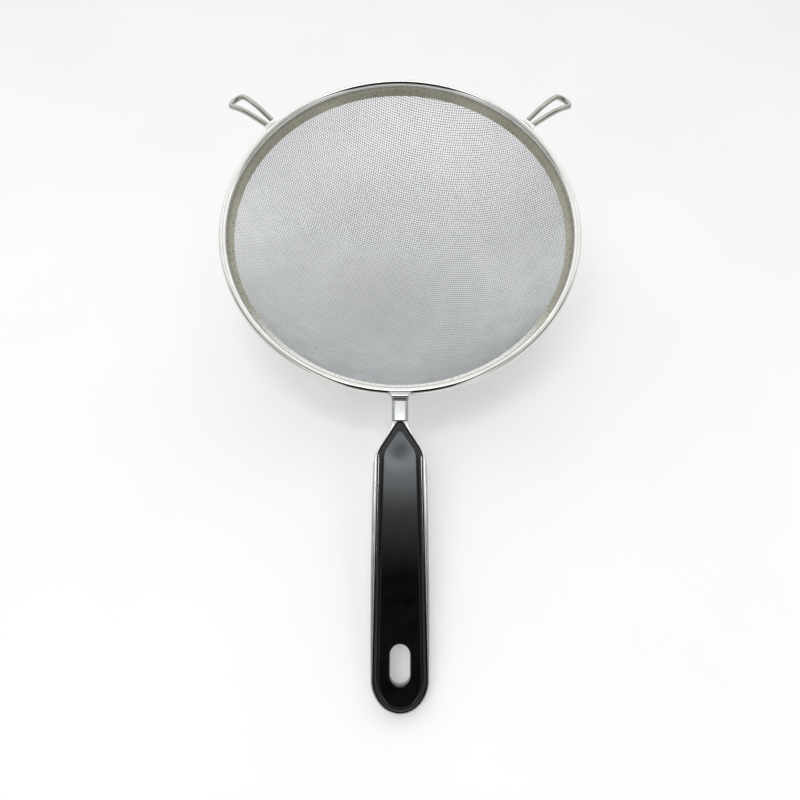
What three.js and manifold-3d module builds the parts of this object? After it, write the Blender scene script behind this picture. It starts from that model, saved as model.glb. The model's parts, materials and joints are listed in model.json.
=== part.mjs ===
// Hand strainer: a wire mesh bowl in a rolled steel rim, two wire rest loops and a steel handle
// with a black insert. Millimetres, +Z up. The pieces are built in the bowl's own frame, with the
// bead's centre plane at z = 0 and the handle towards -Y. The whole strainer is then tipped onto
// the bowl and the handle's end, as it lies on a table.
import * as THREE from "three";
import { mergeVertices } from "three/addons/utils/BufferGeometryUtils.js";
import Module from "manifold-3d";

const wasm = await Module();
wasm.setup();

// Driving dimensions: rim and bowl
const rimDiameter = 200;
const beadDiameter = 4.3;
const sheet = 0.6;
const curlTurn = 300;
const skirtSlope = 55;
const skirtLength = 5.5;
const bowlDepth = 67;
const fit = 0.3;

// Driving dimensions: mesh, with fewer and thicker wires than the fine cloth that they stand for
const meshOpenings = 12;
const meshWire = 1.5;
const meshLap = 0.4;
const meshTurn = -13;
const hemThickness = 0.7;
const hemReach = 3;
const hemGrip = 1.5;

// Driving dimensions: rest loops
const loopAngle = 48;
const loopWire = 2.9;
const loopWidth = 12.8;
const loopLength = 36;
const legGap = 5.1;
const loopLevel = -0.7;
const bendAt = 11;
const bendRadius = 42;
const bendAngle = 34;
const saddleWidth = 10.5;
const saddleReach = 2.6;
const saddleHeight = 3;

// Driving dimensions: neck, handle shell and insert
const neckLength = 13;
const neckWidth = 8.2;
const neckHeight = 4.4;
const neckWall = 0.7;
const neckCorner = 1.2;
const tongueCorner = 0.4;
const neckTop = 0.2;
const collarFlare = 0.34;
const collarLength = 3.2;
const notchFrom = 0.6;
const notchLength = 1.5;
const notchWidth = 2.1;
const notchBridge = 0.4;
const handleLength = 132;
const shoulderWidth = 26.4;
const bellyWidth = 28.4;
const tailWidth = 26.2;
const flareStart = 6.2;
const flareEnd = 13.3;
const shoulderAt = 23;
const bellyAt = 77;
const tailLength = 14;
const shellHeight = 7.6;
const shellFloor = 0.8;
const shellCorner = 2.6;
const edgeRoll = 0.8;
const shoulderEdge = 2.9;
const tailEdge = 1.45;
const endEdge = 1.1;
const noseWidth = 2;
const noseAt = 1;
const insertTaper = 33;
const insertRound = 2.4;
const insertStep = 0.2;
const insertRise = 1.4;
const insertBevel = 2.3;
const slotLength = 17;
const slotWidth = 9;
const slotFromEnd = 11.6;

// Facets
const ringSteps = 64;
const curlSteps = 10;
const meshSides = 4;
const wireSides = 8;
const wireSteps = 36;
const neckSteps = 6;
const curveSteps = 6;
const cornerSteps = 3;
const weldDistance = 1e-4;
const tiltHalvings = 40;

// Materials
function steel(color, roughness) {
  return new THREE.MeshStandardMaterial({ color, roughness, metalness: 1 });
}
const polishedSteel = steel(0xd8d6d0, 0.18);
const meshSteel = steel(0xb4bac0, 0.4);
const wireSteel = steel(0xc4c4c0, 0.25);
const blackPlastic = new THREE.MeshStandardMaterial({ color: 0x0c0d0f, roughness: 0.25, metalness: 0 });

const radians = THREE.MathUtils.degToRad;

function polar(centre, radius, angle) {
  return new THREE.Vector2(centre.x + radius * Math.cos(angle), centre.y + radius * Math.sin(angle));
}

function arc(centre, radius, from, to, steps) {
  return Array.from({ length: steps + 1 }, (_, i) => {
    return polar(centre, radius, from + ((to - from) * i) / steps);
  });
}

// A bent sheet in section: a path thickened to both sides.
function sheetSection(path, thickness) {
  const right = [];
  const left = [];
  path.forEach((point, i) => {
    const before = path[Math.max(i - 1, 0)];
    const after = path[Math.min(i + 1, path.length - 1)];
    const along = after.clone().sub(before).normalize();
    const normal = new THREE.Vector2(-along.y, along.x).multiplyScalar(thickness / 2);
    right.push(point.clone().sub(normal));
    left.unshift(point.clone().add(normal));
  });
  return [...right, ...left];
}

// A body of revolution about Z from a section of radius and height, given counter-clockwise.
function revolve(section) {
  const onAxis = section[0].x === 0;
  const outline = onAxis ? section : [...section, section[0].clone()];
  return new THREE.LatheGeometry(outline, ringSteps).rotateX(Math.PI / 2);
}

// Side faces between stacked rings of equal counts.
function ringFaces(count, levels) {
  const faces = [];
  for (let level = 0; level + 1 < levels; level += 1) {
    for (let i = 0; i < count; i += 1) {
      const a = level * count + i;
      const b = level * count + ((i + 1) % count);
      faces.push(a, b, b + count, a, b + count, a + count);
    }
  }
  return faces;
}

function stacked(rings, faces) {
  const geometry = new THREE.BufferGeometry().setFromPoints(rings.flat());
  geometry.setIndex(faces);
  return geometry;
}

// A solid through a stack of level rings, each counter-clockwise seen from above.
function loft(rings) {
  const count = rings[0].length;
  const last = (rings.length - 1) * count;
  const faces = ringFaces(count, rings.length);
  const flat = (ring) => ring.map((point) => new THREE.Vector2(point.x, point.y));
  for (const [a, b, c] of THREE.ShapeUtils.triangulateShape(flat(rings[0]), [])) {
    faces.push(c, b, a);
  }
  for (const [a, b, c] of THREE.ShapeUtils.triangulateShape(flat(rings.at(-1)), [])) {
    faces.push(last + a, last + b, last + c);
  }
  return stacked(rings, faces);
}

// A bar along a bent line, with a bend at every point. Its flat faces lie a thickness apart.
function rod(points, outward, thickness, sides) {
  const radius = thickness / 2 / Math.cos(Math.PI / sides);
  const rings = points.map((centre, i) => {
    const before = points[Math.max(i - 1, 0)];
    const after = points[Math.min(i + 1, points.length - 1)];
    const along = after.clone().sub(before).normalize();
    const aside = along.clone().cross(outward[i]).normalize();
    const up = aside.clone().cross(along);
    return Array.from({ length: sides }, (_, k) => {
      const around = polar(new THREE.Vector2(), radius, (Math.PI * (2 * k + 1)) / sides);
      return centre.clone().addScaledVector(up, around.x).addScaledVector(aside, around.y);
    });
  });
  const faces = ringFaces(sides, rings.length);
  const last = (rings.length - 1) * sides;
  for (let k = 1; k + 1 < sides; k += 1) {
    faces.push(0, k + 1, k, last, last + k, last + k + 1);
  }
  return stacked(rings, faces);
}

function toSolid(geometry) {
  const bare = new THREE.BufferGeometry().setAttribute("position", geometry.getAttribute("position"));
  bare.setIndex(geometry.index);
  const merged = mergeVertices(bare, weldDistance);
  const vertProperties = merged.attributes.position.array;
  const triVerts = new Uint32Array(merged.index.array);
  return new wasm.Manifold(new wasm.Mesh({ numProp: 3, vertProperties, triVerts }));
}

function toGeometry(solid) {
  const { vertProperties, triVerts } = solid.getMesh();
  const geometry = new THREE.BufferGeometry();
  geometry.setAttribute("position", new THREE.BufferAttribute(vertProperties, 3));
  geometry.setIndex(new THREE.BufferAttribute(triVerts, 1));
  return geometry;
}

function join(geometries) {
  return toGeometry(geometries.map(toSolid).reduce((whole, solid) => whole.add(solid)));
}

function cut(geometry, ...tools) {
  return toGeometry(tools.reduce((solid, tool) => solid.subtract(toSolid(tool)), toSolid(geometry)));
}

function piece(name, geometry, material) {
  geometry.computeVertexNormals();
  const mesh = new THREE.Mesh(geometry, material.clone());
  mesh.name = name;
  return mesh;
}

// The rim's section: the bead is rolled outwards from the top of a sloping skirt.
const rimRadius = rimDiameter / 2;
const beadRadius = beadDiameter / 2;
const beadCentre = new THREE.Vector2(rimRadius - beadRadius, 0);
const curlRadius = beadRadius - sheet / 2;
const slope = radians(skirtSlope);
const skirtWay = new THREE.Vector2(-Math.cos(slope), -Math.sin(slope));
const skirtNormal = new THREE.Vector2(-Math.sin(slope), Math.cos(slope));
const skirtStart = skirtNormal.clone().multiplyScalar(curlRadius).add(beadCentre);

function onSkirt(along, offset) {
  return skirtStart.clone().addScaledVector(skirtWay, along).addScaledVector(skirtNormal, offset);
}

function rimBand() {
  const leave = skirtNormal.angle();
  const curl = arc(beadCentre, curlRadius, leave - radians(curlTurn), leave, curlSteps);
  return revolve(sheetSection([...curl, onSkirt(skirtLength, 0)], sheet));
}

// The mesh is clamped under the bead, with its hem between the skirt and an outer band.
const meshOffset = -(sheet / 2 + fit + hemThickness / 2);
const bandOffset = meshOffset - (hemThickness / 2 + fit + sheet / 2);
const clampTop = beadRadius + fit;
const hemLow = onSkirt(skirtLength + fit, meshOffset);
const capHeight = bowlDepth + hemLow.y;
const bowlRadius = (hemLow.x ** 2 + capHeight ** 2) / (2 * capHeight);
const bowlCentre = new THREE.Vector2(0, bowlRadius - bowlDepth);
const hemAngle = Math.atan2(hemLow.x, bowlCentre.y - hemLow.y);
const wireEnd = hemAngle - hemGrip / bowlRadius;

function hem() {
  const lower = polar(bowlCentre, bowlRadius, hemAngle - Math.PI / 2 - hemReach / bowlRadius);
  return revolve(sheetSection([lower, hemLow, onSkirt(clampTop, meshOffset)], hemThickness));
}

// Directions from the ball's centre to the crossings of square cloth draped in it. The middle wires
// of both ways are great circles, and every cell is a rhombus of equal sides, sheared by the drape.
function drapedNet() {
  const half = meshOpenings / 2;
  const step = wireEnd / half;
  const net = Array.from({ length: half + 1 }, () => []);
  for (let i = 0; i <= half; i += 1) {
    net[i][0] = new THREE.Vector3(Math.sin(i * step), 0, -Math.cos(i * step));
    net[0][i] = new THREE.Vector3(0, Math.sin(i * step), -Math.cos(i * step));
  }
  for (let i = 1; i <= half; i += 1) {
    for (let j = 1; j <= half; j += 1) {
      const middle = net[i - 1][j].clone().add(net[i][j - 1]).normalize();
      net[i][j] = net[i - 1][j - 1].clone().reflect(middle).negate();
    }
  }
  return net;
}

// Half a wire, from the middle of the bowl to the hem. It passes over and under its crossings by turns.
function halfWire(crossings, over) {
  const low = -Math.cos(wireEnd);
  const outside = crossings.findIndex((way) => way.z >= low);
  const last = crossings[outside - 1];
  const past = crossings[outside];
  const end = last.clone().lerp(past, (low - last.z) / (past.z - last.z)).normalize();
  const lift = (meshWire - meshLap) / 2;
  const cloth = bowlRadius + (hemThickness - meshWire) / 2 - lift;
  const laps = crossings.slice(0, outside).map((way, j) => {
    return way.clone().multiplyScalar(cloth + (j % 2 === 0 ? lift : -lift) * over);
  });
  return [...laps, end.multiplyScalar(bowlRadius)];
}

function parallelWires(over) {
  const net = drapedNet();
  const wires = [];
  for (let i = 2 - net.length; i + 1 < net.length; i += 1) {
    const side = i < 0 ? -1 : 1;
    const far = halfWire(net[Math.abs(i)], i % 2 === 0 ? over : -over);
    far.forEach((point) => point.setX(point.x * side));
    const near = far.slice(1).reverse().map((point) => new THREE.Vector3(point.x, -point.y, point.z));
    const points = [...near, ...far];
    const outward = points.map((point) => point.clone().normalize());
    wires.push(rod(points, outward, meshWire, meshSides));
  }
  return wires;
}

function meshBowl() {
  const warp = parallelWires(1);
  const weft = parallelWires(-1).map((wire) => wire.rotateZ(Math.PI / 2));
  const cloth = [...warp, ...weft].map((wire) => {
    return wire.rotateZ(radians(meshTurn)).translate(0, 0, bowlCentre.y);
  });
  return join([hem(), ...cloth]);
}

function clampBand() {
  return revolve(sheetSection([onSkirt(skirtLength, bandOffset), onSkirt(clampTop, bandOffset)], sheet));
}

// Everything inside the bead's outer face, with its clearance: what touches the rim is cut by it.
function rimEnvelope() {
  const reach = rimRadius;
  const round = arc(beadCentre, beadRadius + fit, -Math.PI / 2, Math.PI / 2, curlSteps);
  const foot = new THREE.Vector2(beadCentre.x, -reach);
  const head = new THREE.Vector2(beadCentre.x, reach);
  return revolve([new THREE.Vector2(0, -reach), foot, ...round, head, new THREE.Vector2(0, reach)]);
}

// A rest loop runs out from its foot as a teardrop and its round end is bent down.
class LoopCurve extends THREE.Curve {
  constructor() {
    super();
    const round = (loopWidth - loopWire) / 2;
    const centre = loopLength - round - loopWire / 2;
    const splay = Math.asin(round / Math.hypot(centre, legGap / 2)) - Math.atan2(legGap / 2, centre);
    const turn = Math.PI / 2 + splay;
    this.plan = new THREE.Path();
    this.plan.moveTo(0, -legGap / 2);
    this.plan.lineTo(centre + round * Math.cos(turn), -round * Math.sin(turn));
    this.plan.absarc(centre, 0, round, -turn, turn);
    this.plan.lineTo(0, legGap / 2);
  }

  getPoint(share, target = new THREE.Vector3()) {
    const { x: along, y: aside } = this.plan.getPointAt(share);
    const fullBend = radians(bendAngle);
    const bend = THREE.MathUtils.clamp((along - bendAt) / bendRadius, 0, fullBend);
    const before = Math.min(along, bendAt);
    const after = Math.max(along - bendAt - fullBend * bendRadius, 0);
    const out = before + bendRadius * Math.sin(bend) + after * Math.cos(fullBend);
    const down = bendRadius * (1 - Math.cos(bend)) + after * Math.sin(fullBend);
    return target.set(out, aside, -down);
  }
}

function restLoop() {
  const section = new THREE.Shape(
    Array.from({ length: wireSides }, (_, i) => {
      return polar(new THREE.Vector2(), loopWire / 2, (2 * Math.PI * i) / wireSides);
    }),
  );
  return new THREE.ExtrudeGeometry(section, { extrudePath: new LoopCurve(), steps: wireSteps });
}

// The loop's foot: a web with flared sides that sits on the outside of the bead.
function saddle() {
  const tip = (legGap + loopWire) / 2;
  const outline = new THREE.Shape();
  outline.moveTo(-beadDiameter, -saddleWidth / 2);
  outline.lineTo(0, -saddleWidth / 2);
  outline.quadraticCurveTo(saddleReach / 2, -tip, saddleReach, -tip);
  outline.lineTo(saddleReach, tip);
  outline.quadraticCurveTo(saddleReach / 2, tip, 0, saddleWidth / 2);
  outline.lineTo(-beadDiameter, saddleWidth / 2);
  const web = new THREE.ExtrudeGeometry(outline, {
    depth: saddleHeight,
    bevelEnabled: false,
    curveSegments: curveSteps,
  });
  web.translate(rimRadius, 0, loopLevel - saddleHeight / 2);
  return cut(web, rimEnvelope());
}

function roundedRectangle(Outline, width, height, corner) {
  const outline = new Outline();
  const x = width / 2 - corner;
  const y = height / 2 - corner;
  outline.absarc(x, y, corner, 0, Math.PI / 2);
  outline.absarc(-x, y, corner, Math.PI / 2, Math.PI);
  outline.absarc(-x, -y, corner, Math.PI, 1.5 * Math.PI);
  outline.absarc(x, -y, corner, 1.5 * Math.PI, 2 * Math.PI);
  return outline;
}

// Turns a body that was extruded along +Z so that it runs out along the handle.
function alongHandle(geometry, start, level) {
  return geometry.rotateX(Math.PI / 2).translate(0, -start, level);
}

const neckLevel = neckTop - neckHeight / 2;
const neckEnd = rimRadius + neckLength;

// Two small notches in the sleeve's top leave a narrow bridge between them behind the collar.
function notches() {
  const start = rimRadius + notchFrom;
  const inner = notchBridge / 2;
  return [-1, 1].map((side) => {
    const notch = new THREE.Shape();
    notch.moveTo(side * inner, -start);
    notch.lineTo(side * (inner + notchWidth), -start);
    notch.lineTo(side * inner, -start - notchLength);
    const tool = new THREE.ExtrudeGeometry(notch, { depth: 2 * neckWall, bevelEnabled: false });
    return tool.translate(0, 0, neckTop - neckWall - fit);
  });
}

// The neck is a folded sleeve whose collar flares where it meets the bead.
function neckSleeve() {
  const section = roundedRectangle(THREE.Shape, neckWidth, neckHeight, neckCorner);
  const bore = 2 * neckWall;
  section.holes.push(
    roundedRectangle(THREE.Path, neckWidth - bore, neckHeight - bore, neckCorner - neckWall),
  );
  const start = beadCentre.x;
  const sleeve = new THREE.ExtrudeGeometry(section, {
    depth: neckEnd - start,
    steps: neckSteps,
    bevelEnabled: false,
    curveSegments: cornerSteps,
  });
  const points = sleeve.getAttribute("position");
  const collarEnd = beadRadius + collarLength;
  for (let i = 0; i < points.count; i += 1) {
    const flare = 1 + collarFlare * Math.max(1 - points.getZ(i) / collarEnd, 0) ** 2;
    points.setX(i, points.getX(i) * flare);
    points.setY(i, points.getY(i) * flare);
  }
  return cut(alongHandle(sleeve, start, neckLevel), rimEnvelope(), ...notches());
}

// Handle outlines: half widths and distances from the bowl's axis, from the mouth to the round end.
const handleStart = neckEnd + fit;
const handleEnd = neckEnd + handleLength;
const tailFrom = handleEnd - tailLength;

function mirrored(half, level) {
  const left = half.map((point) => new THREE.Vector3(-point.x, -point.y, level));
  const right = half.slice(0, -1).reverse().map((point) => new THREE.Vector3(point.x, -point.y, level));
  return [...left, ...right];
}

function shellRing(inset, level) {
  const mouth = neckWidth / 2 - inset;
  const shoulder = shoulderWidth / 2 - inset;
  const tail = tailWidth / 2 - inset;
  const half = new THREE.Path();
  half.moveTo(mouth, handleStart + inset);
  half.bezierCurveTo(
    mouth,
    handleStart + flareStart,
    shoulder,
    handleStart + flareEnd,
    shoulder,
    handleStart + shoulderAt,
  );
  half.quadraticCurveTo(bellyWidth / 2 - inset, handleStart + bellyAt, tail, tailFrom);
  half.absellipse(0, tailFrom, tail, tailLength - inset, 0, Math.PI / 2);
  return mirrored(half.getPoints(curveSteps), level);
}

// The insert's outline tapers to a small nose at the neck.
function insertRing(inset, level) {
  const taper = radians(insertTaper);
  const nose = noseWidth / 2;
  const shoulder = shoulderWidth / 2 - shoulderEdge - inset;
  const tail = tailWidth / 2 - tailEdge - inset;
  const apex = handleStart + noseAt - nose / Math.tan(taper) + inset / Math.sin(taper);
  const knee = apex + shoulder / Math.tan(taper);
  const half = new THREE.Path();
  half.moveTo(nose, apex + nose / Math.tan(taper));
  half.lineTo(shoulder - insertRound * Math.tan(taper), knee - insertRound);
  half.quadraticCurveTo(shoulder, knee, shoulder, knee + insertRound);
  half.lineTo(tail, tailFrom);
  half.absellipse(0, tailFrom, tail, tailLength - endEdge - inset, 0, Math.PI / 2);
  return mirrored(half.getPoints(curveSteps), level);
}

// The hanging slot, as a tool that runs past both faces.
function slotTool() {
  const tool = new THREE.Shape();
  const round = slotWidth / 2;
  const straight = (slotLength - slotWidth) / 2;
  tool.absarc(0, straight, round, 0, Math.PI);
  tool.absarc(0, -straight, round, Math.PI, 2 * Math.PI);
  const depth = 4 * shellHeight;
  const body = new THREE.ExtrudeGeometry(tool, { depth, bevelEnabled: false, curveSegments: curveSteps });
  return body.translate(0, slotFromEnd + slotLength / 2 - handleEnd, -depth / 2);
}

// Insets and rises along a quarter round, from the flat face to the side.
function quarterRound(radius) {
  return arc(new THREE.Vector2(radius, radius), radius, -Math.PI / 2, -Math.PI, cornerSteps);
}

// The shell is a stamped tray with round edges. Its tongue runs through the neck to the rim.
function handleShell() {
  const floor = shellFloor - shellHeight;
  const block = loft([
    ...quarterRound(shellCorner).map((point) => shellRing(point.x, point.y - shellHeight)),
    ...quarterRound(edgeRoll).reverse().map((point) => shellRing(point.x, -point.y)),
  ]);
  const pocket = loft([insertRing(-fit, floor), insertRing(-fit, shellHeight)]);
  const gap = 2 * (neckWall + fit);
  const tongueStart = rimRadius + fit;
  const tongue = new THREE.ExtrudeGeometry(
    roundedRectangle(THREE.Shape, neckWidth - gap, neckHeight - gap, tongueCorner),
    { depth: handleStart + fit - tongueStart, bevelEnabled: false, curveSegments: cornerSteps },
  );
  return cut(join([block, alongHandle(tongue, tongueStart, neckLevel)]), pocket, slotTool());
}

// The black insert fills the tray and rises over a bevelled border to a flat face.
function handleGrip() {
  const body = loft([
    insertRing(0, shellFloor + fit - shellHeight),
    insertRing(0, insertStep),
    insertRing(insertBevel, insertRise),
  ]);
  return cut(body, slotTool());
}

const bowl = new THREE.Group();
bowl.add(piece("rim_band", rimBand(), polishedSteel));
bowl.add(piece("mesh_bowl", meshBowl(), meshSteel));
bowl.add(piece("clamp_band", clampBand(), polishedSteel));
for (const [side, turn] of [["left", 90 + loopAngle], ["right", 90 - loopAngle]]) {
  const ear = new THREE.Group();
  ear.rotation.z = radians(turn);
  const loop = piece(`ear_${side}`, restLoop(), wireSteel);
  loop.position.set(rimRadius + saddleReach + fit, 0, loopLevel);
  ear.add(loop, piece(`saddle_${side}`, saddle(), polishedSteel));
  bowl.add(ear);
}
bowl.add(piece("neck_sleeve", neckSleeve(), polishedSteel));
bowl.add(piece("handle_shell", handleShell(), polishedSteel));
bowl.add(piece("handle_grip", handleGrip(), blackPlastic));

// At rest the lowest points of the bowl and of the handle are on the same level.
function lowest(name, tilt) {
  const points = bowl.getObjectByName(name).geometry.getAttribute("position");
  const heights = Array.from({ length: points.count }, (_, i) => {
    return points.getY(i) * Math.sin(tilt) + points.getZ(i) * Math.cos(tilt);
  });
  return heights.reduce((a, b) => Math.min(a, b));
}

function restTilt() {
  let flat = 0;
  let steep = Math.PI / 4;
  for (let i = 0; i < tiltHalvings; i += 1) {
    const middle = (flat + steep) / 2;
    if (lowest("handle_shell", middle) > lowest("mesh_bowl", middle)) flat = middle;
    else steep = middle;
  }
  return flat;
}

bowl.rotation.x = restTilt();
const strainer = new THREE.Group();
strainer.add(bowl);
strainer.updateMatrixWorld(true);
const box = new THREE.Box3().setFromObject(strainer, true);
bowl.position.set(0, -(box.min.y + box.max.y) / 2, -box.min.z);

export default strainer;
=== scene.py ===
# Hand strainer: a woven wire bowl in a polished rolled rim, wire rest loops and a steel handle
# with a glossy black insert. Sizes are in metres. Pieces are shaped in the bowl's own frame, with
# the bead's centre plane at z = 0 and the handle towards -Y, and are then tipped onto the table.
import json
import math
from functools import reduce

import bpy
import numpy as np
from mathutils import Matrix, Vector
from mathutils.geometry import tessellate_polygon


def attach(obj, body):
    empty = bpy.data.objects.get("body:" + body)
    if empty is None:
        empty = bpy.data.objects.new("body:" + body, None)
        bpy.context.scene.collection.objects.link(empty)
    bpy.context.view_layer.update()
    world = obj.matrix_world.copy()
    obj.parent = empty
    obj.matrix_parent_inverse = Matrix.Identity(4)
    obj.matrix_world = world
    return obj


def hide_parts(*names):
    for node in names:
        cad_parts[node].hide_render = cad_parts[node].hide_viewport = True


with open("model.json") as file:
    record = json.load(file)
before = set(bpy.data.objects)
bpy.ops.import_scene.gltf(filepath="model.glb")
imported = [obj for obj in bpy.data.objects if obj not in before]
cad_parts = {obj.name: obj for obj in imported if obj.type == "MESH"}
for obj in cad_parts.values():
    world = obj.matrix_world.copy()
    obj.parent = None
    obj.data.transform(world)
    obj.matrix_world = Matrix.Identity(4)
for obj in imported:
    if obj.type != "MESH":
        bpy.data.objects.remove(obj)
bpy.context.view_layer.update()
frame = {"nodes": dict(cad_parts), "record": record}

MM = 0.001

# Rim and bowl
BEAD = 4.3 * MM
SHEET = 0.6 * MM
CURL_FROM = math.radians(-100)
CURL_TO = math.radians(195)
CURL_LEAD = 1.225 * MM
SKIRT_SLOPE = math.radians(45)
SKIRT_REACH = 4.9 * MM
SKIRT_DROP = 4.9 * MM
SKIRT_LEAD = 2.45 * MM
SKIRT_LIP = 0.2 * MM
CLAMP_HEIGHT = 2 * MM
FIT = 0.3 * MM
MESH_SPACE = 0.7 * MM
REST_SAG = 0.3 * MM
REST_GAP = 0.1 * MM

# Woven wire
WIRE = 0.37 * MM
PITCH = 1.47 * MM
WEAVE_TURN = math.radians(-13)
HEM = 2.2 * MM
SPARE_CELLS = 2
SHORTEST_WIRE = 3

# Rest loops and their feet
LOOP_ANGLE = math.radians(48)
LOOP_WIRE = 3.1 * MM
LOOP_WIDTH = 12.8 * MM
LOOP_LENGTH = 36 * MM
LEG_GAP = 4.4 * MM
LOOP_LEVEL = -0.7 * MM
BEND_AT = 11 * MM
BEND_RADIUS = 42 * MM
BEND_ANGLE = math.radians(34)
SADDLE_REACH = 2.6 * MM
FOOT_ROUND = 0.3 * MM
WELD_REACH = 0.01 * MM

# Neck and collar
NECK_FLAT = 8.2 * MM
NECK_TOP = 0.2 * MM
NECK_CORNER = 1.2 * MM
COLLAR_WIDTH = 11.6 * MM
COLLAR_SHEET = 0.4 * MM
COLLAR_START = 0.9 * MM
COLLAR_REACH = 1.0 * MM
COLLAR_STEP = 1.5 * MM

# Handle tray, with the flare of its shoulder
SHOULDER = 26.4 * MM
SHOULDER_AT = 23 * MM
FLARE_WIDTH = 0.528 * MM
FLARE_FROM = 6.21 * MM
FLARE_TO = 13.34 * MM
BELLY = 28.4 * MM
BELLY_AT = 77 * MM
TAIL = 26.2 * MM
TAIL_LENGTH = 14 * MM
SHELL_CORNER = 2.6 * MM
SHELL_FLOOR = 0.8 * MM
EDGE_ROLL = 0.9 * MM

# Black insert and the hanging slot
TIP = 2 * MM
APEX_BACK = 0.6 * MM
INSERT_SHOULDER = 20.6 * MM
INSERT_TAIL = 23.3 * MM
INSERT_TAPER = math.radians(33)
INSERT_RISE = 1.4 * MM
INSERT_ROUND = 2.4 * MM
END_EDGE = 1.1 * MM
BEVEL = 2.3 * MM
EDGE_STEP = 0.2 * MM
EDGE_ROUND = 0.25 * MM
LOWER_EDGE_CUT = 0.075 * MM
UPPER_EDGE_CUT = 0.0625 * MM
SLOT_LENGTH = 17 * MM
SLOT_WIDTH = 9 * MM
SLOT_FROM_END = 11.6 * MM
SLOT_ROUND = 0.6 * MM

# Fineness of the meshes
CURL_STEPS = 40
SKIRT_STEPS = 12
RIM_STEPS = 288
WIRE_SIDES = 6
LOOP_STEPS = 56
LOOP_SIDES = 20
FOOT_STEPS = 3
NECK_STEPS = 6
COLLAR_FLAT_STEPS = 4
COLLAR_DOWN_STEPS = 10
COLLAR_RINGS = 13
MOUTH_STEPS = 4
TAPER_STEPS = 8
SHOULDER_STEPS = 6
SIDE_STEPS = 16
END_STEPS = 16
SLOT_STEPS = 20
CORNER_RINGS = 6
ROLL_RINGS = 13

# Edges sharper than these angles stay crisp, in degrees
CREASE = 35
WIRE_CREASE = 80
FOOT_CREASE = 30
NECK_CREASE = 30
TRAY_CREASE = 40
GRIP_CREASE = 50

# Finishes: noise scales per metre, bump depths, and the spread of noise that is used
EVEN = (1, 1, 1)
BRUSHED = (1, 0.06, 1)
NOISE_DETAIL = 3
NOISE_LOW = 0.3
NOISE_HIGH = 0.7
STEEL_CLOUDS = 90
STEEL_LINES = 700
STEEL_BUMP = 0.06
STEEL_DEPTH = 0.05 * MM
PLASTIC_CLOUDS = 160
PLASTIC_GRAIN = 2600
PLASTIC_BUMP = 0.05
PLASTIC_DEPTH = 0.03 * MM

# Painted highlight on the skirt under the bead: its colour brightens towards the neck, along the
# table's Y
PAINTED_SHEEN_FROM = 30 * MM
PAINTED_SHEEN_TO = -10 * MM
PAINTED_SHEEN_STEEL = (0.82, 0.81, 0.77)

# Camera, in the bowl's frame
CAMERA_BACK = 192.3 * MM
CAMERA_HEIGHT = 288.2 * MM
CAMERA_ELEVATION = math.radians(72.65)
CAMERA_LENS = 27
SENSOR = 36

# Table and softbox
TABLE_HALF = 4
TABLE_DARK = (0.84, 0.84, 0.84)
TABLE_LIGHT = (0.87, 0.87, 0.87)
TABLE_CLOUDS = 6
TABLE_ROUGHNESS = 0.8
TABLE_SPECULAR = 0.2
TABLE_GLOW = 0.1
SOFTBOX_PLACE = (-0.2, -0.4, 1.3)
SOFTBOX_TARGET = (0, 0.15, 0.03)
SOFTBOX_SIZE = 0.8
SOFTBOX_POWER = 7.5

# Light of each part of the room
SKY = (1.27, 1.28, 1.29)
ZENITH = (1.00, 1.01, 1.02)
BACK_WALL = (1.10, 1.10, 1.08)
LOW_WALLS = (0.55, 0.54, 0.50)
SIDE_WALLS = (0.16, 0.16, 0.16)
BLACK_CARD = (0.02, 0.02, 0.02)
CEILING_LAMP = (6.3, 6.7, 7.1)

# Where each part fades in, by a direction's y, z or distance from the middle plane
BACK_WALL_Y = (0.35, 0.9)
SKY_Z = (0.16, 0.4)
ZENITH_Z = (0.8, 0.94)
SIDE_Y = (0.25, -0.05)
SIDE_TOP_Z = (0.85, 0.7)
SIDE_FOOT_Z = (0.3, 0.42)
SIDE_ASIDE = (0.48, 0.68)
CARD_ASIDE = (0.46, 0.35)
TABLE_EDGE_ASIDE = (0.45, 0.25)
TABLE_EDGE_SHARE = 0.5
LAMP_ASIDE = (0.20, 0.14)
BESIDE_LAMP_ASIDE = (0.15, 0.22)

# And by its lean, the angle off the zenith towards the handle's end
CARD_TOP_LEAN = np.radians((7, 14))
CARD_FOOT_LEAN = np.radians((77, 68))
TABLE_EDGE_LEAN = np.radians((73, 79))
LAMP_FAR_LEAN = np.radians((-4.5, 3.5))
LAMP_NEAR_LEAN = np.radians((8.5, 3))
BESIDE_LAMP_FAR_LEAN = np.radians((-6, -1))
BESIDE_LAMP_NEAR_LEAN = np.radians((20, 12))

# The ceiling lamp is dimmer in its middle and outside its bright ring.
LAMP_LEAN = math.radians(2)
LAMP_MIDDLE = np.radians((0.5, 1.2))
LAMP_MIDDLE_SHARE = 0.35
LAMP_OUTSIDE = np.radians((1.4, 2.4))
LAMP_OUTSIDE_SHARE = 0.7


# The bowl's frame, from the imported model

BACK = next(Vector(m["axis"]) for m in frame["record"]["mounts"] if m["name"] == "handle_back")
TILT = math.atan2(BACK.y, -BACK.z)
LEVEL = np.array(Matrix.Rotation(-TILT, 3, "X"))


# A node's lowest and highest corners with the tilt taken out.
def levelled_box(node):
    points = np.array([v.co for v in frame["nodes"][node].data.vertices]) @ LEVEL.T
    return points.min(axis=0), points.max(axis=0)


rim_low, rim_high = levelled_box("rim_band")
CENTRE = (rim_low + rim_high) / 2
CENTRE[2] = rim_high[2] - BEAD / 2
TO_TABLE = Matrix.Rotation(TILT, 4, "X") @ Matrix.Translation(Vector(CENTRE))


def lowest(node):
    return levelled_box(node)[0] - CENTRE


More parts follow.
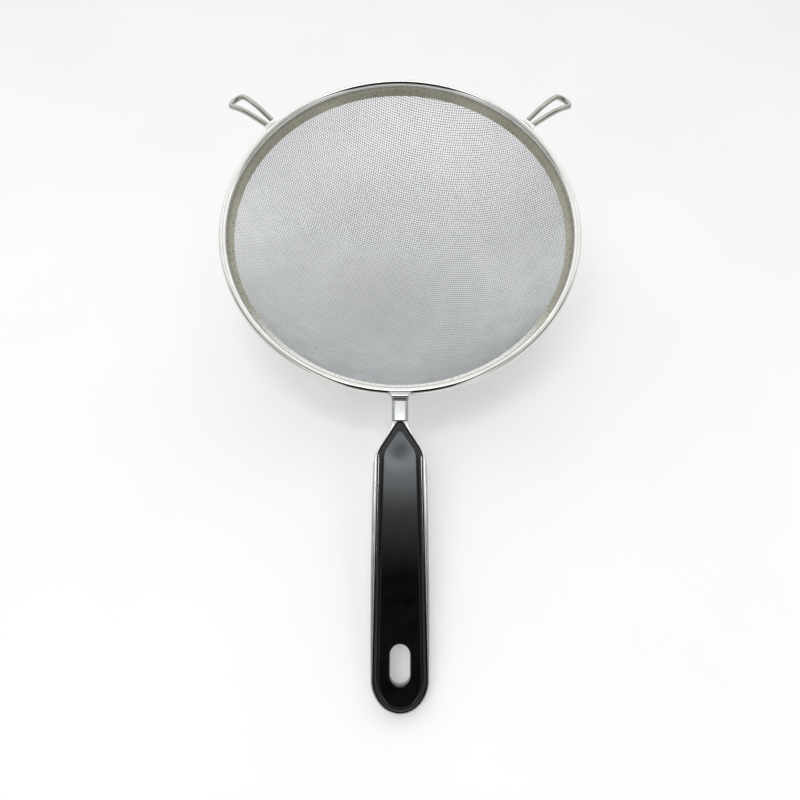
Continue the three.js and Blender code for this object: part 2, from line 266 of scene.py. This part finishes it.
RIM = (rim_high[0] - rim_low[0]) / 2
NECK_END = -lowest("neck_sleeve")[1]
NECK_BOTTOM = lowest("neck_sleeve")[2]
HANDLE_END = -lowest("handle_shell")[1]
SHELL_BOTTOM = lowest("handle_shell")[2] + REST_GAP
BOWL_DEPTH = -lowest("mesh_bowl")[2] - MESH_SPACE / 2 - REST_SAG


# Materials

# A node tree, with a short call for each kind of node. Values are numbers, colours or sockets.
class Graph:
    def __init__(self, owner):
        owner.use_nodes = True
        self.nodes = owner.node_tree.nodes
        self.links = owner.node_tree.links

    def feed(self, socket, value):
        if isinstance(value, bpy.types.NodeSocket):
            self.links.new(value, socket)
        elif isinstance(value, tuple):
            socket.default_value = (*value, 1)
        else:
            socket.default_value = value

    def place(self, kind):
        coordinates = self.nodes.new("ShaderNodeTexCoord")
        parts = self.nodes.new("ShaderNodeSeparateXYZ")
        self.feed(parts.inputs["Vector"], coordinates.outputs[kind])
        return [parts.outputs[axis] for axis in "XYZ"]

    def noise(self, scale, stretch=EVEN):
        coordinates = self.nodes.new("ShaderNodeTexCoord")
        size = self.nodes.new("ShaderNodeMapping")
        size.inputs["Scale"].default_value = stretch
        texture = self.nodes.new("ShaderNodeTexNoise")
        texture.inputs["Scale"].default_value = scale
        texture.inputs["Detail"].default_value = NOISE_DETAIL
        self.feed(size.inputs["Vector"], coordinates.outputs["Object"])
        self.feed(texture.inputs["Vector"], size.outputs["Vector"])
        return texture.outputs["Fac"]

    # Goes from first to last as the value goes from start to end.
    def fade(self, value, start, end, first=0, last=1, kind="SMOOTHSTEP"):
        ranged = self.nodes.new("ShaderNodeMapRange")
        ranged.interpolation_type = kind
        ranged.inputs["From Min"].default_value = start
        ranged.inputs["From Max"].default_value = end
        ranged.inputs["To Min"].default_value = first
        ranged.inputs["To Max"].default_value = last
        self.feed(ranged.inputs["Value"], value)
        return ranged.outputs["Result"]

    def spread(self, noise, low, high):
        return self.fade(noise, NOISE_LOW, NOISE_HIGH, low, high, kind="LINEAR")

    def tinted(self, noise, low, high):
        ramp = self.nodes.new("ShaderNodeValToRGB")
        first, last = ramp.color_ramp.elements
        first.position = NOISE_LOW
        first.color = (*low, 1)
        last.position = NOISE_HIGH
        last.color = (*high, 1)
        self.feed(ramp.inputs["Fac"], noise)
        return ramp.outputs["Color"]

    def mixed(self, share, first, second):
        mix = self.nodes.new("ShaderNodeMixRGB")
        self.feed(mix.inputs["Fac"], share)
        self.feed(mix.inputs["Color1"], first)
        self.feed(mix.inputs["Color2"], second)
        return mix.outputs["Color"]

    def combined(self, operation, *values):
        result = self.nodes.new("ShaderNodeMath")
        result.operation = operation
        for socket, value in zip(result.inputs, values):
            self.feed(socket, value)
        return result.outputs["Value"]

    def product(self, *values):
        return reduce(lambda first, second: self.combined("MULTIPLY", first, second), values)

    def greatest(self, *values):
        return reduce(lambda first, second: self.combined("MAXIMUM", first, second), values)

    def bumped(self, value, strength, distance):
        bump = self.nodes.new("ShaderNodeBump")
        bump.inputs["Strength"].default_value = strength
        bump.inputs["Distance"].default_value = distance
        self.feed(bump.inputs["Height"], value)
        return bump.outputs["Normal"]


def new_material(name):
    material = bpy.data.materials.new(name)
    graph = Graph(material)
    return material, graph, graph.nodes["Principled BSDF"].inputs


def steel(name, dull, bright, roughness, stretch=EVEN, metallic=1, painted_sheen=None):
    material, graph, surface = new_material(name)
    colour = graph.tinted(graph.noise(STEEL_CLOUDS), dull, bright)
    lines = graph.noise(STEEL_LINES, stretch)
    # A painted highlight: the colour fades to a brighter steel along the object's Y.
    if painted_sheen:
        y = graph.place("Object")[1]
        colour = graph.mixed(graph.fade(y, PAINTED_SHEEN_FROM, PAINTED_SHEEN_TO), colour, painted_sheen)
    graph.feed(surface["Base Color"], colour)
    graph.feed(surface["Roughness"], graph.spread(lines, *roughness))
    graph.feed(surface["Normal"], graph.bumped(lines, STEEL_BUMP, STEEL_DEPTH))
    graph.feed(surface["Metallic"], metallic)
    return material


def plastic(name, dark, light, roughness, refraction):
    material, graph, surface = new_material(name)
    cloud = graph.noise(PLASTIC_CLOUDS)
    grain = graph.noise(PLASTIC_GRAIN)
    graph.feed(surface["Base Color"], graph.tinted(cloud, dark, light))
    graph.feed(surface["Roughness"], graph.spread(cloud, *roughness))
    graph.feed(surface["Normal"], graph.bumped(grain, PLASTIC_BUMP, PLASTIC_DEPTH))
    graph.feed(surface["IOR"], refraction)
    return material


RIM_STEEL = steel(
    "rim_steel",
    dull=(0.70, 0.69, 0.66),
    bright=(0.78, 0.77, 0.74),
    roughness=(0.07, 0.12),
)
# The skirt under the bead is a dull brown, with a painted highlight that brightens it towards the
# neck.
BAND_STEEL = steel(
    "band_steel",
    dull=(0.305, 0.295, 0.235),
    bright=(0.36, 0.35, 0.285),
    roughness=(0.24, 0.36),
    metallic=0.3,
    painted_sheen=PAINTED_SHEEN_STEEL,
)
HANDLE_STEEL = steel(
    "handle_steel",
    dull=(0.62, 0.61, 0.595),
    bright=(0.70, 0.69, 0.675),
    roughness=(0.10, 0.20),
    stretch=BRUSHED,
)
# A darker copy of the handle's brushed steel: painted shade that dims the neck and collar.
NECK_SHADED_STEEL = steel(
    "neck_shaded_steel",
    dull=(0.38, 0.375, 0.36),
    bright=(0.44, 0.435, 0.42),
    roughness=(0.08, 0.14),
    stretch=BRUSHED,
)
LOOP_STEEL = steel(
    "loop_steel",
    dull=(0.35, 0.34, 0.31),
    bright=(0.48, 0.47, 0.43),
    roughness=(0.08, 0.16),
)
MESH_STEEL = steel(
    "mesh_steel",
    dull=(0.52, 0.54, 0.55),
    bright=(0.63, 0.65, 0.66),
    roughness=(0.26, 0.42),
)
GRIP_BLACK = plastic(
    "grip_black",
    dark=(0.0015, 0.0022, 0.0018),
    light=(0.004, 0.005, 0.0045),
    roughness=(0.03, 0.06),
    refraction=1.42,
)


# Making pieces

def add_piece(name, points, faces, material, slot, node, crease=CREASE):
    mesh = bpy.data.meshes.new(name)
    mesh.from_pydata([tuple(p) for p in points], [], [tuple(f) for f in faces])
    mesh.transform(TO_TABLE)
    finish_piece(name, mesh, material, node, crease)


def finish_piece(name, mesh, material, node, crease):
    mesh.validate()
    mesh.materials.clear()
    mesh.materials.append(material)
    mesh.shade_smooth()
    mesh.set_sharp_from_angle(angle=math.radians(crease))
    piece = bpy.data.objects.new(name, mesh)
    bpy.context.scene.collection.objects.link(piece)
    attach(piece, "root")
    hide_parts(node)
    return piece


def arc(centre, radius, start, end, steps):
    x, y = centre
    angles = np.linspace(start, end, steps + 1)
    return [Vector((x + radius * math.cos(a), y + radius * math.sin(a))) for a in angles]


def bezier(points, steps):
    degree = len(points) - 1
    order = range(degree + 1)
    curve = []
    for share in np.linspace(0, 1, steps + 1):
        weights = [math.comb(degree, k) * share ** k * (1 - share) ** (degree - k) for k in order]
        curve.append(sum((Vector(p) * w for p, w in zip(points, weights)), Vector((0, 0))))
    return curve


# A bent sheet in section: a path thickened to both sides.
def sheet_section(path, thickness):
    right, left = [], []
    for i, point in enumerate(path):
        along = (path[min(i + 1, len(path) - 1)] - path[max(i - 1, 0)]).normalized()
        normal = Vector((-along.y, along.x)) * thickness / 2
        right.append(point - normal)
        left.insert(0, point + normal)
    return right + left


# Joins rings of equal length, and closes the stack on itself where loop is set.
def bridge(count, rings, loop=False):
    faces = []
    for level in range(rings if loop else rings - 1):
        lower = level * count
        upper = (level + 1) % rings * count
        for i in range(count):
            j = (i + 1) % count
            faces.append((lower + i, lower + j, upper + j, upper + i))
    return faces


# A tube through rings of equal length, closed at both ends.
def capped(rings):
    count = len(rings[0])
    points = np.concatenate([np.array(ring) for ring in rings])
    faces = bridge(count, len(rings))
    faces.append(tuple(reversed(range(count))))
    faces.append(tuple(range(len(points) - count, len(points))))
    return points, faces


def revolve(section):
    points = []
    for turn in np.linspace(0, 2 * math.pi, RIM_STEPS, endpoint=False):
        points += [(p.x * math.cos(turn), p.x * math.sin(turn), p.y) for p in section]
    return points, bridge(len(section), RIM_STEPS, loop=True)


def unit(rows):
    return rows / np.linalg.norm(rows, axis=1, keepdims=True)


# Rim

BEAD_CENTRE = Vector((RIM - BEAD / 2, 0))
CURL_RADIUS = BEAD / 2 - SHEET / 2
SKIRT_WAY = Vector((-math.cos(SKIRT_SLOPE), -math.sin(SKIRT_SLOPE)))
SKIRT_NORMAL = Vector((-math.sin(SKIRT_SLOPE), math.cos(SKIRT_SLOPE)))
SKIRT_END = BEAD_CENTRE - Vector((SKIRT_REACH, SKIRT_DROP))
MESH_OFFSET = -(SHEET / 2 + FIT + MESH_SPACE / 2)
BAND_OFFSET = MESH_OFFSET - (MESH_SPACE / 2 + FIT + SHEET / 2)


def past_skirt(along, offset):
    return SKIRT_END + SKIRT_WAY * along + SKIRT_NORMAL * offset


def make_rim():
    curl = arc(BEAD_CENTRE, CURL_RADIUS, CURL_FROM, CURL_TO, CURL_STEPS)
    add_piece("rim", *revolve(sheet_section(curl, SHEET)), RIM_STEEL, "rim_steel", "rim_band")
    way = (curl[-1] - curl[-2]).normalized()
    leads = [curl[-1] + way * CURL_LEAD, past_skirt(-SKIRT_LEAD, 0)]
    bend = bezier([curl[-1], *leads, SKIRT_END], SKIRT_STEPS)
    lip = past_skirt(-SKIRT_LIP, 0)
    section = sheet_section(bend[:-1] + [lip, SKIRT_END], SHEET)
    add_piece("skirt", *revolve(section), BAND_STEEL, "rim_steel", "rim_band")


def make_clamp_band():
    low = past_skirt(0, BAND_OFFSET)
    high = past_skirt(-CLAMP_HEIGHT, BAND_OFFSET)
    lip = (high - low).normalized() * SHEET / 2
    section = sheet_section([low, low + lip, high - lip, high], SHEET)
    add_piece("mesh_band", *revolve(section), RIM_STEEL, "rim_steel", "clamp_band")


# Woven bowl: square cloth draped on the bowl's ball. Each cell of the net is a rhombus of equal
# sides, so the wires shear towards the bias near the rim as real cloth does.

HEM_LOW = past_skirt(FIT, MESH_OFFSET)
CAP = BOWL_DEPTH + HEM_LOW.y
BALL = (HEM_LOW.x ** 2 + CAP ** 2) / (2 * CAP)
BALL_HEIGHT = BALL - BOWL_DEPTH
EDGE_ANGLE = math.atan2(HEM_LOW.x, BALL_HEIGHT - HEM_LOW.y)
CLOTH_ANGLE = EDGE_ANGLE + HEM / BALL
NO_LENGTH = 1e-9


# Directions from the ball's centre to the crossings in one quarter of the cloth.
def draped_quarter():
    count = int(CLOTH_ANGLE * BALL / PITCH) + SPARE_CELLS
    step = PITCH / BALL
    net = np.full((count, count, 3), np.nan)
    for i in range(count):
        net[i, 0] = (math.sin(i * step), 0, -math.cos(i * step))
        net[0, i] = (0, math.sin(i * step), -math.cos(i * step))
    for i in range(1, count):
        for j in range(1, count):
            middle = net[i - 1, j] + net[i, j - 1]
            middle /= np.linalg.norm(middle)
            net[i, j] = 2 * middle.dot(net[i - 1, j - 1]) * middle - net[i - 1, j - 1]
            if net[i, j, 2] > -math.cos(CLOTH_ANGLE + SPARE_CELLS * step):
                net[i, j] = np.nan
    return net


# The whole cloth: the quarter mirrored both ways, and turned as the weave lies.
def draped_net():
    quarter = draped_quarter()
    count = len(quarter)
    index = np.arange(-count + 1, count)
    net = quarter[np.abs(index)[:, None], np.abs(index)[None, :]].copy()
    net[:, :, 0] *= np.where(index < 0, -1, 1)[:, None]
    net[:, :, 1] *= np.where(index < 0, -1, 1)[None, :]
    return index, net @ np.array(Matrix.Rotation(WEAVE_TURN, 3, "Z")).T


def angle_from_bottom(net):
    return np.arccos(np.clip(-net[:, 2], -1, 1))


# Points of the net on the bowl, with the hem turned up along the skirt, and their inward normals.
def on_bowl(net):
    angle = angle_from_bottom(net)
    past = np.maximum(angle - EDGE_ANGLE, 0)[:, None] * BALL
    inside = np.minimum(angle, EDGE_ANGLE)
    flat = net[:, :2] / np.maximum(np.linalg.norm(net[:, :2], axis=1, keepdims=True), NO_LENGTH)
    radius = BALL * np.sin(inside)[:, None] - past * SKIRT_WAY.x
    height = BALL_HEIGHT - BALL * np.cos(inside)[:, None] - past * SKIRT_WAY.y
    return np.hstack([flat * radius, height]), -net


def wire_tube(centres, normals):
    along = unit(np.gradient(centres, axis=0))
    aside = unit(np.cross(along, normals))
    up = np.cross(aside, along)
    turns = np.linspace(0, 2 * math.pi, WIRE_SIDES, endpoint=False)
    strips = [centres + WIRE / 2 * (math.cos(t) * up + math.sin(t) * aside) for t in turns]
    return capped(np.stack(strips, axis=1))


# One piece of parallel wires. Each goes over and under the wires that cross it.
def make_wires(name, index, net, keep, over):
    points, faces, total = [], [], 0
    for row in np.flatnonzero(keep):
        line = net[row]
        inside = np.flatnonzero(angle_from_bottom(line) <= CLOTH_ANGLE)
        if len(inside) < SHORTEST_WIRE:
            continue
        centres, normals = on_bowl(line[inside])
        parity = np.where((index[row] + index[inside]) % 2 == 0, over, -over)
        centres = centres + parity[:, None] * normals * WIRE / 2
        tube, sides = wire_tube(centres, normals)
        points.append(tube)
        faces += [[total + k for k in side] for side in sides]
        total += len(tube)
    wires = np.vstack(points)
    add_piece(name, wires, faces, MESH_STEEL, "mesh_steel", "mesh_bowl", WIRE_CREASE)


def make_woven_bowl():
    index, net = draped_net()
    across = net.transpose(1, 0, 2)
    make_wires("warp_left", index, net, index < 0, 1)
    make_wires("warp_right", index, net, index >= 0, 1)
    make_wires("weft_near", index, across, index < 0, -1)
    make_wires("weft_far", index, across, index >= 0, -1)


# Rest loops

def loop_plan():
    round_end = (LOOP_WIDTH - LOOP_WIRE) / 2
    centre = LOOP_LENGTH - round_end - LOOP_WIRE / 2
    half_gap = LEG_GAP / 2
    splay = math.asin(round_end / math.hypot(centre, half_gap)) - math.atan2(half_gap, centre)
    turn = math.pi / 2 + splay
    bow = arc((centre, 0), round_end, -turn, turn, LOOP_STEPS)
    legs = np.linspace(0, 1, LOOP_STEPS // 2, endpoint=False)
    start, end = Vector((0, -half_gap)), Vector((0, half_gap))
    first = [start.lerp(bow[0], s) for s in legs]
    last = [end.lerp(bow[-1], s) for s in reversed(legs)]
    return first + bow + last


def bent_down(point):
    bend = min(max((point.x - BEND_AT) / BEND_RADIUS, 0), BEND_ANGLE)
    after = max(point.x - BEND_AT - BEND_ANGLE * BEND_RADIUS, 0)
    out = min(point.x, BEND_AT) + BEND_RADIUS * math.sin(bend) + after * math.cos(BEND_ANGLE)
    down = BEND_RADIUS * (1 - math.cos(bend)) + after * math.sin(BEND_ANGLE)
    return Vector((out, point.y, -down))


# A round rod along a path, whose rings turn with the path and don't twist.
def rod(path, radius):
    points = np.array([tuple(p) for p in path])
    along = unit(np.gradient(points, axis=0))
    turns = np.linspace(0, 2 * math.pi, LOOP_SIDES, endpoint=False)
    normal = np.cross(along[0], (0, 0, 1.0))
    rings = []
    for centre, way in zip(points, along):
        normal = normal - way * normal.dot(way)
        normal /= np.linalg.norm(normal)
        side = np.cross(way, normal)
        rings.append([centre + radius * (math.cos(t) * normal + math.sin(t) * side) for t in turns])
    return capped(rings)


def make_loop(side, turn):
    points, faces = rod([bent_down(p) for p in loop_plan()], LOOP_WIRE / 2)
    out = Matrix.Translation((RIM + SADDLE_REACH + FIT, 0, LOOP_LEVEL))
    place = Matrix.Rotation(turn, 4, "Z") @ out
    placed = [place @ Vector(p) for p in points]
    add_piece(f"loop_{side}", placed, faces, LOOP_STEEL, "wire_steel", f"ear_{side}")


# A foot is a copy of its CAD solid with softened edges.
def make_foot(side):
    node = f"saddle_{side}"
    mesh = frame["nodes"][node].data.copy()
    foot = finish_piece(f"foot_{side}", mesh, RIM_STEEL, node, FOOT_CREASE)
    weld = foot.modifiers.new("weld", "WELD")
    weld.merge_threshold = WELD_REACH
    soften = foot.modifiers.new("soften", "BEVEL")
    soften.width = FOOT_ROUND
    soften.segments = FOOT_STEPS
    soften.limit_method = "ANGLE"
    soften.angle_limit = math.radians(FOOT_CREASE)
    soften.use_clamp_overlap = True
    soften.harden_normals = True


# Neck

# The sleeve's section has flat strips beside its round corners, which keep the flats evenly lit.
def sleeve_ring(away, inset):
    low, high = NECK_BOTTOM + inset, NECK_TOP - inset
    side, corner = NECK_FLAT / 2 - inset, NECK_CORNER - inset
    ring = []
    for k, (x, z) in enumerate([(side, high), (-side, high), (-side, low), (side, low)]):
        centre = (x - math.copysign(corner, x), z - corner if z == high else z + corner)
        bend = arc(centre, corner, k * math.pi / 2, (k + 1) * math.pi / 2, NECK_STEPS)
        before = (bend[0] - bend[1]).normalized() * EDGE_ROUND
        after = (bend[-1] - bend[-2]).normalized() * EDGE_ROUND
        ring += [bend[0] + before] + bend + [bend[-1] + after]
    return [Vector((p.x, -away, p.y)) for p in ring]


def make_neck():
    start = RIM + FIT
    stations = [
        (start, EDGE_ROUND),
        (start + EDGE_ROUND, 0),
        (NECK_END - EDGE_ROUND, 0),
        (NECK_END, EDGE_ROUND),
    ]
    points, faces = capped([sleeve_ring(away, inset) for away, inset in stations])
    add_piece("neck", points, faces, NECK_SHADED_STEEL, "handle_steel", "neck_sleeve", NECK_CREASE)


# The collar lies flat on the bead, narrows and steps down to the sleeve.
def make_collar():
    top = BEAD / 2 + FIT / 2 + COLLAR_SHEET / 2
    foot = NECK_TOP + FIT / 2 + COLLAR_SHEET / 2
    start, edge = BEAD_CENTRE.x + COLLAR_START, RIM + COLLAR_REACH
    middle, end = edge + COLLAR_STEP / 2, edge + COLLAR_STEP
    flat = bezier([(start, top), (edge, top)], COLLAR_FLAT_STEPS)
    down = bezier([(edge, top), (middle, top), (middle, foot), (end, foot)], COLLAR_DOWN_STEPS)
    fold = flat + down[1:]
    section = sheet_section(fold, COLLAR_SHEET)
    narrowed = [min((p.x - fold[0].x) / (edge - fold[0].x), 1) for p in fold]
    lost = COLLAR_WIDTH - NECK_FLAT
    widths = [COLLAR_WIDTH - lost * math.sin(n * math.pi / 2) for n in narrowed]
    rings = []
    for across in np.linspace(-0.5, 0.5, COLLAR_RINGS):
        turns = [across * width / BEAD_CENTRE.x for width in widths + widths[::-1]]
        rings.append([(p.x * math.sin(t), -p.x * math.cos(t), p.y) for p, t in zip(section, turns)])
    points, faces = capped(rings)
    add_piece("collar", points, faces, NECK_SHADED_STEEL, "handle_steel", "neck_sleeve")


# Handle: half outlines of width and distance from the bowl's axis, from the mouth to the end.

MOUTH = NECK_END + FIT
TAIL_FROM = HANDLE_END - TAIL_LENGTH


def round_end(half_width, length):
    angles = np.linspace(0, math.pi / 2, END_STEPS + 1)
    return [Vector((half_width * math.cos(a), TAIL_FROM + length * math.sin(a))) for a in angles]


def shell_half(inset):
    mouth, shoulder, tail = NECK_FLAT / 2 - inset, SHOULDER / 2 - inset, TAIL / 2 - inset
    start = MOUTH + inset
    knee = MOUTH + SHOULDER_AT
    front = bezier([(0, start), (mouth, start)], MOUTH_STEPS)
    flare_in = (mouth + FLARE_WIDTH, MOUTH + FLARE_FROM)
    flare_out = (shoulder, MOUTH + FLARE_TO)
    taper = bezier([front[-1], flare_in, flare_out, (shoulder, knee)], TAPER_STEPS + SHOULDER_STEPS)
    belly = (BELLY / 2 - inset, MOUTH + BELLY_AT)
    side = bezier([taper[-1], belly, (tail, TAIL_FROM)], SIDE_STEPS)
    end = round_end(tail, TAIL_LENGTH - inset)
    return front + taper[1:] + side[1:] + end[1:]


def insert_half(inset):
    slant = math.tan(INSERT_TAPER)
    shoulder, tail = INSERT_SHOULDER / 2 - inset, INSERT_TAIL / 2 - inset
    apex = MOUTH - APEX_BACK + inset / math.sin(INSERT_TAPER)
    tip = TIP / 2
    tip_at = apex + tip / slant
    nose = tip_at - tip / 2
    front = bezier([(0, nose), (tip / 2, nose), (tip, tip_at)], MOUTH_STEPS)
    corner = apex + shoulder / slant
    before = (shoulder - INSERT_ROUND * slant, corner - INSERT_ROUND)
    after = (shoulder, corner + INSERT_ROUND)
    taper = bezier([front[-1], before], TAPER_STEPS)
    knee = bezier([taper[-1], (shoulder, corner), after], SHOULDER_STEPS)
    side = bezier([knee[-1], (tail, TAIL_FROM)], SIDE_STEPS)
    end = round_end(tail, TAIL_LENGTH - END_EDGE - inset)
    return front + taper[1:] + knee[1:] + side[1:] + end[1:]


def handle_ring(half, level):
    left = [Vector((-p.x, -p.y, level)) for p in half]
    right = [Vector((p.x, -p.y, level)) for p in reversed(half[1:-1])]
    return left + right


def slot_ring(grow, level):
    middle = -(HANDLE_END - SLOT_FROM_END - SLOT_LENGTH / 2)
    straight = (SLOT_LENGTH - SLOT_WIDTH) / 2
    radius = SLOT_WIDTH / 2 + grow
    outline = arc((0, middle + straight), radius, 0, math.pi, SLOT_STEPS)
    outline += arc((0, middle - straight), radius, math.pi, 2 * math.pi, SLOT_STEPS)
    return [Vector((p.x, p.y, level)) for p in outline]


# A solid put together from rings that run counter-clockwise seen from above.
class Rings:
    def __init__(self):
        self.points = []
        self.faces = []

    def add(self, ring):
        first = len(self.points)
        self.points += ring
        return list(range(first, len(self.points)))

    def wall(self, lower, upper):
        count = len(lower)
        for i in range(count):
            j = (i + 1) % count
            self.faces.append((lower[i], lower[j], upper[j], upper[i]))

    def stack(self, rings):
        indices = [self.add(ring) for ring in rings]
        for lower, upper in zip(indices, indices[1:]):
            self.wall(lower, upper)
        return indices[0], indices[-1]

    def cap(self, outer, hole, facing):
        loops = [[self.points[k] for k in outer], [self.points[k] for k in hole]]
        flat = outer + hole
        for triangle in tessellate_polygon(loops):
            a, b, c = (flat[k] for k in triangle)
            across = (self.points[b] - self.points[a]).cross(self.points[c] - self.points[a])
            self.faces.append((a, b, c) if across.z * facing > 0 else (a, c, b))


# A tray with a round lower corner and an edge that rolls over to the insert.
def make_shell():
    floor = SHELL_BOTTOM + SHELL_FLOOR
    rings = []
    for turn in np.linspace(0, math.pi / 2, CORNER_RINGS):
        half = shell_half(SHELL_CORNER * (1 - math.sin(turn)))
        rings.append(handle_ring(half, SHELL_BOTTOM + SHELL_CORNER * (1 - math.cos(turn))))
    outer, inner = shell_half(0), insert_half(-FIT)
    for turn in np.linspace(0, math.pi, ROLL_RINGS):
        share = (1 - math.cos(turn)) / 2
        rolled = [a.lerp(b, share) for a, b in zip(outer, inner)]
        rings.append(handle_ring(rolled, EDGE_ROLL * (math.sin(turn) - 1)))
    rings.append(handle_ring(inner, floor))
    shell = Rings()
    bottom, inside = shell.stack(rings)
    slot_top, slot_bottom = shell.stack([slot_ring(0, floor), slot_ring(0, SHELL_BOTTOM)])
    shell.cap(inside, slot_top, 1)
    shell.cap(bottom, slot_bottom, -1)
    points, faces = shell.points, shell.faces
    add_piece("handle_tray", points, faces, HANDLE_STEEL, "handle_steel", "handle_shell", TRAY_CREASE)


# Flat rings beside the soft edges keep the face evenly lit.
def make_grip():
    base = SHELL_BOTTOM + SHELL_FLOOR + FIT
    edge, soft = EDGE_STEP, EDGE_ROUND
    slope = (INSERT_RISE - edge) / BEVEL
    profile = [
        (0, base),
        (0, edge - soft),
        (LOWER_EDGE_CUT, edge - LOWER_EDGE_CUT),
        (soft, edge + soft * slope),
        (BEVEL - soft, INSERT_RISE - soft * slope),
        (BEVEL, INSERT_RISE - UPPER_EDGE_CUT * slope),
        (BEVEL + soft, INSERT_RISE),
        (BEVEL + 2 * soft, INSERT_RISE),
    ]
    grip = Rings()
    bottom, face = grip.stack([handle_ring(insert_half(inset), level) for inset, level in profile])
    lips = [slot_ring(SLOT_ROUND + soft, INSERT_RISE)]
    for turn in np.linspace(0, math.pi / 2, CORNER_RINGS):
        level = INSERT_RISE - SLOT_ROUND * (1 - math.cos(turn))
        lips.append(slot_ring(SLOT_ROUND * (1 - math.sin(turn)), level))
    slot_top, slot_bottom = grip.stack(lips + [slot_ring(0, base)])
    grip.cap(face, slot_top, 1)
    grip.cap(bottom, slot_bottom, -1)
    points, faces = grip.points, grip.faces
    add_piece("grip", points, faces, GRIP_BLACK, "grip_black", "handle_grip", GRIP_CREASE)


make_rim()
make_clamp_band()
make_woven_bowl()
make_loop("left", math.pi / 2 + LOOP_ANGLE)
make_loop("right", math.pi / 2 - LOOP_ANGLE)
make_foot("left")
make_foot("right")
make_neck()
make_collar()
make_shell()
make_grip()


# Stage: a pale table in a bright room, with a black card behind the camera

# The table shows partly as plain white to the camera and in reflections, which keeps a pale shadow.
def make_table():
    half = TABLE_HALF
    mesh = bpy.data.meshes.new("table")
    corners = [(-half, -half, 0), (half, -half, 0), (half, half, 0), (-half, half, 0)]
    mesh.from_pydata(corners, [], [(0, 1, 2, 3)])
    material, graph, surface = new_material("table")
    colour = graph.tinted(graph.noise(TABLE_CLOUDS), TABLE_DARK, TABLE_LIGHT)
    graph.feed(surface["Base Color"], colour)
    graph.feed(surface["Roughness"], TABLE_ROUGHNESS)
    graph.feed(surface["Specular IOR Level"], TABLE_SPECULAR)
    rays = graph.nodes.new("ShaderNodeLightPath").outputs
    seen = graph.greatest(rays["Is Camera Ray"], rays["Is Glossy Ray"], rays["Is Transmission Ray"])
    glow = graph.nodes.new("ShaderNodeEmission")
    blend = graph.nodes.new("ShaderNodeMixShader")
    graph.feed(blend.inputs["Fac"], graph.product(seen, TABLE_GLOW))
    graph.feed(blend.inputs[1], graph.nodes["Principled BSDF"].outputs["BSDF"])
    graph.feed(blend.inputs[2], glow.outputs["Emission"])
    graph.feed(graph.nodes["Material Output"].inputs["Surface"], blend.outputs["Shader"])
    mesh.materials.append(material)
    table = bpy.data.objects.new("table", mesh)
    bpy.context.scene.collection.objects.link(table)


# The room is a colour for each direction, and the metal mirrors it.
def make_room():
    world = bpy.data.worlds.new("room")
    bpy.context.scene.world = world
    graph = Graph(world)
    x, y, z = graph.place("Generated")
    aside = graph.combined("ABSOLUTE", x)
    lean = graph.combined("ARCTAN2", graph.product(y, -1), z)

    walls = graph.mixed(graph.fade(y, *BACK_WALL_Y), LOW_WALLS, BACK_WALL)
    room = graph.mixed(graph.fade(z, *SKY_Z), walls, SKY)
    room = graph.mixed(graph.fade(z, *ZENITH_Z), room, ZENITH)
    sides = graph.product(
        graph.fade(y, *SIDE_Y),
        graph.fade(z, *SIDE_TOP_Z),
        graph.fade(aside, *SIDE_ASIDE),
        graph.fade(z, *SIDE_FOOT_Z),
    )
    room = graph.mixed(sides, room, SIDE_WALLS)

    card_width = graph.fade(aside, *CARD_ASIDE)
    card = graph.product(
        graph.fade(lean, *CARD_TOP_LEAN),
        graph.fade(lean, *CARD_FOOT_LEAN),
        card_width,
    )
    beside_lamp = graph.product(
        graph.fade(lean, *BESIDE_LAMP_FAR_LEAN),
        graph.fade(lean, *BESIDE_LAMP_NEAR_LEAN),
        graph.fade(aside, *BESIDE_LAMP_ASIDE),
        card_width,
    )
    table_edge = graph.product(
        graph.fade(lean, *TABLE_EDGE_LEAN),
        graph.fade(aside, *TABLE_EDGE_ASIDE),
        TABLE_EDGE_SHARE,
    )
    room = graph.mixed(graph.greatest(card, beside_lamp, table_edge), room, BLACK_CARD)

    along = graph.combined("SUBTRACT", lean, LAMP_LEAN)
    squares = graph.combined("ADD", graph.product(along, along), graph.product(x, x))
    from_middle = graph.combined("SQRT", squares)
    lamp = graph.product(
        graph.fade(lean, *LAMP_FAR_LEAN),
        graph.fade(lean, *LAMP_NEAR_LEAN),
        graph.fade(aside, *LAMP_ASIDE),
        graph.fade(from_middle, *LAMP_MIDDLE, LAMP_MIDDLE_SHARE, 1),
        graph.fade(from_middle, *LAMP_OUTSIDE, 1, LAMP_OUTSIDE_SHARE),
    )
    room = graph.mixed(lamp, room, CEILING_LAMP)
    graph.feed(graph.nodes["Background"].inputs["Color"], room)


def turned(looking):
    return looking.to_track_quat("-Z", "Y").to_euler()


# The softbox lights the strainer from the camera's side and isn't mirrored in the metal.
def make_softbox():
    light = bpy.data.lights.new("softbox", "AREA")
    light.energy = SOFTBOX_POWER
    light.size = SOFTBOX_SIZE
    softbox = bpy.data.objects.new("softbox", light)
    softbox.location = SOFTBOX_PLACE
    softbox.rotation_euler = turned(Vector(SOFTBOX_TARGET) - Vector(SOFTBOX_PLACE))
    softbox.visible_glossy = False
    bpy.context.scene.collection.objects.link(softbox)


def make_camera():
    data = bpy.data.cameras.new("camera")
    data.lens = CAMERA_LENS
    data.sensor_width = SENSOR
    camera = bpy.data.objects.new("camera", data)
    bpy.context.scene.collection.objects.link(camera)
    looking = Vector((0, math.cos(CAMERA_ELEVATION), -math.sin(CAMERA_ELEVATION)))
    camera.location = TO_TABLE @ Vector((0, -CAMERA_BACK, CAMERA_HEIGHT))
    camera.rotation_euler = turned(TO_TABLE.to_3x3() @ looking)
    bpy.context.scene.camera = camera


make_table()
make_room()
make_softbox()
make_camera()
bpy.context.scene.view_settings.view_transform = "Standard"
